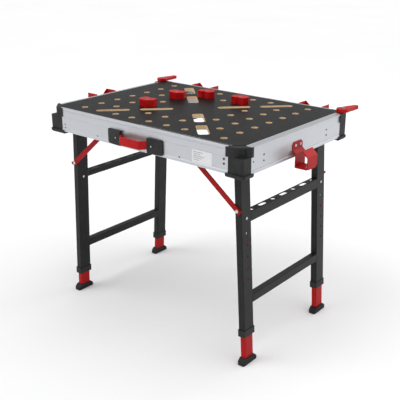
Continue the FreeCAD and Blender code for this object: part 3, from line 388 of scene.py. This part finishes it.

# ---- screws and rivets ------------------------------------------------------------------------
# Button-head screws with hexagonal sockets, blackened in the rails and zinc plated elsewhere, and
# plain domed rivets on the end rails. The rail screws' dark colour is partly their black oxide and partly
# painted shade of their sockets.
zinc_plate, nodes, links, shader = new_finish("zinc_plate")
tarnish = mottle(nodes, links, pattern_space(nodes, links), 160.0, 4.0, 0.6)
links.new(ramp(nodes, links, tarnish, [(0.3, (0.50, 0.51, 0.53, 1)), (0.7, (0.68, 0.69, 0.70, 1))]),
          shader.inputs["Base Color"])
shader.inputs["Metallic"].default_value = 1.0
links.new(between(nodes, links, tarnish, 0.24, 0.38), shader.inputs["Roughness"])
for node in ("accessory_screws", "leg_hinge_bolts", "right_frame_bolts", "left_frame_bolts"):
    frame["nodes"][node].data.materials[0] = zinc_plate
# painted shade: the rail screws' steel is darker than black oxide alone, standing for the shade in their
# sockets
blackened_and_shaded_steel, nodes, links, shader = new_finish("blackened_and_shaded_steel")
oxide = mottle(nodes, links, pattern_space(nodes, links), 220.0, 4.0, 0.6)
links.new(ramp(nodes, links, oxide, [(0.3, (0.055, 0.056, 0.060, 1)), (0.7, (0.13, 0.13, 0.135, 1))]),
          shader.inputs["Base Color"])
shader.inputs["Metallic"].default_value = 1.0
links.new(between(nodes, links, oxide, 0.30, 0.46), shader.inputs["Roughness"])
frame["nodes"]["rail_screws"].data.materials[0] = blackened_and_shaded_steel

# ---- stop levers ------------------------------------------------------------------------------
# Red mouldings that turn on a shouldered screw on each back corner piece.
for lever in ("right_stop_lever", "left_stop_lever"):
    eased(lever, 0.0026, moulded_red, 3)

# ---- leg hinges and brace guides --------------------------------------------------------------
# Pressed hinge brackets under the panel, zinc plated, and mill-finish channels with the slots that
# the braces' upper pins run in.
pressed_steel, nodes, links, shader = new_finish("pressed_steel")
spangle = nodes.new("ShaderNodeTexVoronoi")
spangle.inputs["Scale"].default_value = 90.0
links.new(pattern_space(nodes, links), spangle.inputs["Vector"])
links.new(ramp(nodes, links, spangle.outputs["Distance"],
               [(0.1, (0.40, 0.41, 0.43, 1)), (0.8, (0.53, 0.54, 0.56, 1))]), shader.inputs["Base Color"])
shader.inputs["Metallic"].default_value = 1.0
links.new(between(nodes, links, spangle.outputs["Distance"], 0.34, 0.46), shader.inputs["Roughness"])
eased("leg_hinge_brackets", 0.0006, pressed_steel)
frame["nodes"]["brace_guides"].data.materials[0] = drawn_along_x

# ---- leg frames -------------------------------------------------------------------------------
# Welded from 30 by 60 mm steel tube with rounded corners, powder coated satin black: two uprights,
# a drilled angle that holds tools, and a lower rail.
for side in ("right", "left"):
    for part in ("front_leg_tube", "back_leg_tube", "tool_rail", "lower_rail"):
        frame["nodes"][f"{side}_{part}"].data.materials[0] = black_powder_coat

# ---- welds ------------------------------------------------------------------------------------
# Each closed lower rail is welded to its two legs along its top and its underside. The beads have
# the ripples of a hand-run weld and are painted over with the frame.
weld_radius = 0.0032
weld_run = 0.024
weld_ripples = 6
rings_per_bead = 17
lower_rail_height = 0.0345
frame_lean = 3.2  # degrees from upright
one_bead = bmesh.new()
bmesh.ops.create_cone(one_bead, cap_ends=True, segments=12, radius1=weld_radius, radius2=weld_radius,
                      depth=weld_run)
along = [e for e in one_bead.edges if abs(e.verts[0].co.z - e.verts[1].co.z) > weld_run / 2]
bmesh.ops.subdivide_edges(one_bead, edges=along, cuts=rings_per_bead)
for vert in one_bead.verts:
    ripple = 0.86 + 0.14 * math.cos(vert.co.z * 2 * math.pi / (weld_run / weld_ripples))
    end = max(0.0, abs(vert.co.z) / (weld_run / 2) - 0.8) * 2.2
    vert.co.x *= ripple - end
    vert.co.y *= ripple - end
bmesh.ops.rotate(one_bead, verts=one_bead.verts, cent=(0, 0, 0),
                 matrix=Matrix.Rotation(math.radians(90), 3, "Y"))
pattern = bpy.data.meshes.new("weld_bead")
one_bead.to_mesh(pattern)
one_bead.free()
for side in ("right", "left"):
    low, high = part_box(f"{side}_lower_rail")
    middle = (low + high) / 2
    lean = Matrix.Rotation(math.radians(-frame_lean if side == "right" else frame_lean), 4, "Y")
    beads = bmesh.new()
    for y in (low.y, high.y):
        for level in (-1, 1):
            before = len(beads.verts)
            beads.from_mesh(pattern)
            beads.verts.ensure_lookup_table()
            place = Matrix.Translation((middle.x, y, middle.z)) @ lean
            bmesh.ops.transform(beads, verts=beads.verts[before:],
                                matrix=place @ Matrix.Translation((0, 0, level * lower_rail_height / 2)))
    for face in beads.faces:
        face.smooth = True
    welds = new_piece(f"{side}_lower_rail_welds", beads, black_powder_coat)
    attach(welds, f"{side}_leg_frame")

# ---- braces -----------------------------------------------------------------------------------
# Flat steel bars with a finger tab at the heel, powder coated a darker red, each turning on a
# shouldered bolt in its leg.
dark_red_powder_coat = powder_coat("dark_red_powder_coat", 16.0, (0.29, 0.0034, 0.0043, 1),
                                   (0.38, 0.0056, 0.0060, 1), 0.32, 0.42)
for side in ("right", "left"):
    for end in ("front", "back"):
        eased(f"{side}_{end}_brace", 0.0007, dark_red_powder_coat)

# ---- collars and inner legs -------------------------------------------------------------------
# A nylon collar closes each outer tube and guides the red inner leg, which slides in it.
for side in ("right", "left"):
    eased(f"{side}_leg_collars", 0.0012, moulded_black, 3)
    for end in ("front", "back"):
        frame["nodes"][f"{side}_{end}_inner_leg"].data.materials[0] = red_powder_coat

# ---- feet -------------------------------------------------------------------------------------
# Rubber shoes pushed on the ends of the inner legs, matt and slightly dusty.
foot_rubber, nodes, links, shader = new_finish("foot_rubber")
scuffs = mottle(nodes, links, pattern_space(nodes, links), 45.0, 6.0, 0.7)
links.new(ramp(nodes, links, scuffs, [(0.4, (0.012, 0.012, 0.0125, 1)), (0.75, (0.030, 0.030, 0.030, 1))]),
          shader.inputs["Base Color"])
links.new(between(nodes, links, scuffs, 0.62, 0.82), shader.inputs["Roughness"])
shader.inputs["Specular IOR Level"].default_value = 0.25
bumps(nodes, links, mottle(nodes, links, pattern_space(nodes, links), 900.0, 3.0), 0.2, 0.0003, shader)
for side in ("right", "left"):
    for end in ("front", "back"):
        eased(f"{side}_{end}_foot", 0.0016, foot_rubber, 3)

# ---- spring buttons ---------------------------------------------------------------------------
# Bright turned steel buttons that lock the inner legs in the holes of the outer tubes.
turned_steel, nodes, links, shader = new_finish("turned_steel")
turning = mottle(nodes, links, pattern_space(nodes, links, (1, 1, 6)), 260.0, 3.0)
links.new(ramp(nodes, links, turning, [(0.3, (0.52, 0.53, 0.54, 1)), (0.7, (0.72, 0.72, 0.73, 1))]),
          shader.inputs["Base Color"])
shader.inputs["Metallic"].default_value = 1.0
links.new(between(nodes, links, turning, 0.22, 0.36), shader.inputs["Roughness"])
for side in ("right", "left"):
    for end in ("front", "back"):
        frame["nodes"][f"{side}_{end}_spring_button"].data.materials[0] = turned_steel

# ---- clamping jaws ----------------------------------------------------------------------------
# Solid red jaws with a V groove for round work, each turning on a steel peg in a grid hole.
for number in range(1, 5):
    eased(f"jaw_{number}", 0.0012, moulded_red, 3)
    frame["nodes"][f"jaw_peg_{number}"].data.materials[0] = turned_steel

# ---- floor, light and camera ------------------------------------------------------------------
# A pale studio floor, soft light from high at the front left, from above and from a softbox behind,
# and a camera above the table top at the front right.
pale_floor, nodes, links, shader = new_finish("pale_floor")
links.new(ramp(nodes, links, mottle(nodes, links, pattern_space(nodes, links), 0.6),
               [(0.2, (0.84, 0.84, 0.845, 1)), (0.8, (0.87, 0.87, 0.875, 1))]), shader.inputs["Base Color"])
shader.inputs["Roughness"].default_value = 0.9
shader.inputs["Specular IOR Level"].default_value = 0.1
floor_shape = bmesh.new()
bmesh.ops.create_grid(floor_shape, x_segments=1, y_segments=1, size=40.0)
studio_floor = new_piece("studio_floor", floor_shape, pale_floor)

studio = bpy.data.worlds.new("studio")
bpy.context.scene.world = studio
studio.use_nodes = True
studio.node_tree.nodes["Background"].inputs["Color"].default_value = (1.0, 1.0, 1.0, 1)
studio.node_tree.nodes["Background"].inputs["Strength"].default_value = 0.52
for name, place, softness, strength in (("key_from_front_left", (-1.6, -2.6, 3.4), 45, 1.15),
                                        ("fill_from_above", (1.0, 0.8, 4.0), 70, 1.25)):
    light = bpy.data.lights.new(name, "SUN")
    light.angle = math.radians(softness)
    light.energy = strength
    lamp = bpy.data.objects.new(name, light)
    lamp.location = place
    lamp.rotation_euler = (-Vector(place)).to_track_quat("-Z", "Y").to_euler()
    bpy.context.scene.collection.objects.link(lamp)

softbox = bpy.data.lights.new("tall_softbox_behind", "AREA")
softbox.shape = "RECTANGLE"
softbox.size = 2.6
softbox.size_y = 2.2
softbox.energy = 55.0
softbox_place = Vector((0.9, 4.6, 2.3))
softbox_aim = Vector((0.3, 0, 0.9))
softbox_stand = bpy.data.objects.new("tall_softbox_behind", softbox)
softbox_stand.location = softbox_place
softbox_stand.rotation_euler = (softbox_aim - softbox_place).to_track_quat("-Z", "Y").to_euler()
bpy.context.scene.collection.objects.link(softbox_stand)

lens = bpy.data.cameras.new("view")
lens.sensor_width = 36.0
lens.lens = 62.54
view = bpy.data.objects.new("view", lens)
view.location = (table_middle.x + 1.9081, table_middle.y - 2.2259, panel_high.z + 0.7052)
view.rotation_euler = (math.radians(68.949), math.radians(0.188), math.radians(40.176))
bpy.context.scene.collection.objects.link(view)
bpy.context.scene.camera = view
bpy.context.scene.view_settings.view_transform = "Standard"
